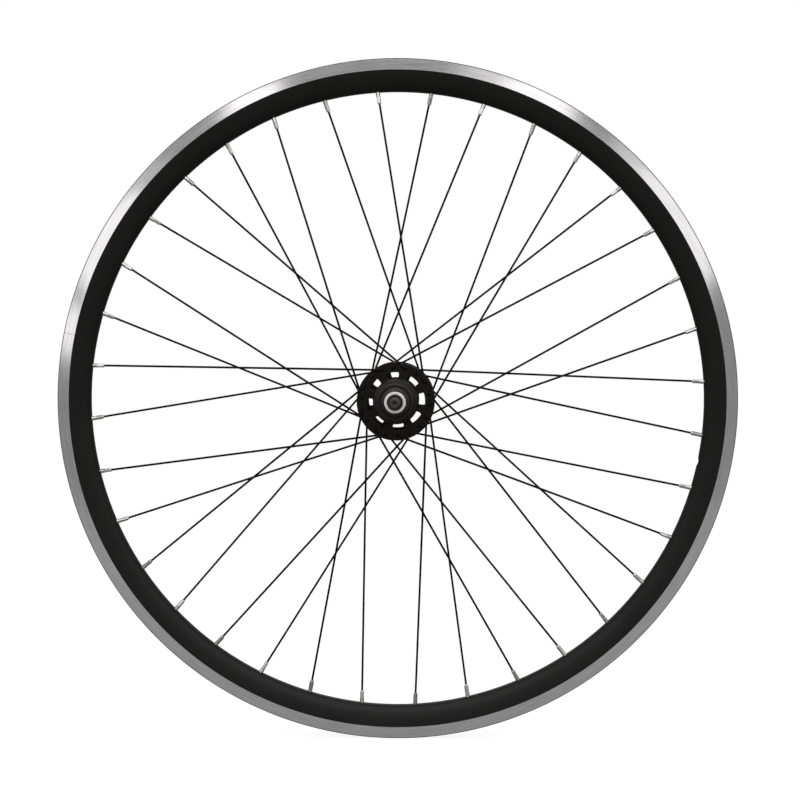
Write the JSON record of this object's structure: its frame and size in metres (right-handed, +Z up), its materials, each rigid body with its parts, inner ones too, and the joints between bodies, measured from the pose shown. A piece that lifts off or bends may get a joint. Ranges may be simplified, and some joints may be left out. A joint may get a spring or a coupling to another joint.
{
  "type": "bicycle wheel",
  "caption": "Spoked bicycle wheel: hollow black rim with bright brake tracks, crossed wire spokes in silver nipples, and a pierced high-flange hub on a bolt-on axle",
  "frame": {"origin": "the wheel's centre, on the axle and midway between the two flanges", "axes": "+Y along the axle to the wheel's left side, +Z up, +X forward; the right side faces -Y"},
  "size_m": [0.6339, 0.16, 0.634],
  "materials": {
    "rim": "black anodised, brake tracks machined bright",
    "spoke": "black oxide",
    "nipple": "nickel plated",
    "hub_shell": "polished black anodised",
    "axle": "dark oiled steel",
    "bearing": "ground",
    "bearing_cap": "polished black anodised",
    "locknut": "turned bright face"
  },
  "bodies": {
    "axle": {"axle": "axle", "left_bearing_inner_ring": "bearing", "left_bearing_cap": "bearing_cap", "left_locknut": "locknut", "right_bearing_inner_ring": "bearing", "right_bearing_cap": "bearing_cap", "right_locknut": "locknut"},
    "wheel": {"rim": "rim", "left_spoke_01": "spoke", "left_spoke_02": "spoke", "left_spoke_03": "spoke", "left_spoke_04": "spoke", "left_spoke_05": "spoke", "left_spoke_06": "spoke", "left_spoke_07": "spoke", "left_spoke_08": "spoke", "left_spoke_09": "spoke", "left_spoke_10": "spoke", "left_spoke_11": "spoke", "left_spoke_12": "spoke", "left_spoke_13": "spoke", "left_spoke_14": "spoke", "left_spoke_15": "spoke", "left_spoke_16": "spoke", "left_spoke_17": "spoke", "left_spoke_18": "spoke", "right_spoke_01": "spoke", "right_spoke_02": "spoke", "right_spoke_03": "spoke", "right_spoke_04": "spoke", "right_spoke_05": "spoke", "right_spoke_06": "spoke", "right_spoke_07": "spoke", "right_spoke_08": "spoke", "right_spoke_09": "spoke", "right_spoke_10": "spoke", "right_spoke_11": "spoke", "right_spoke_12": "spoke", "right_spoke_13": "spoke", "right_spoke_14": "spoke", "right_spoke_15": "spoke", "right_spoke_16": "spoke", "right_spoke_17": "spoke", "right_spoke_18": "spoke", "spoke_nipples": "nipple", "hub_shell": "hub_shell", "left_bearing_outer_ring": "bearing", "right_bearing_outer_ring": "bearing"}
  },
  "joints": [
    {"name": "wheel_spin", "type": "hinge", "parent": "axle", "child": "wheel", "pos_m": [0, 0, 0], "axis": [0, 1, 0], "continuous": true}
  ]
}
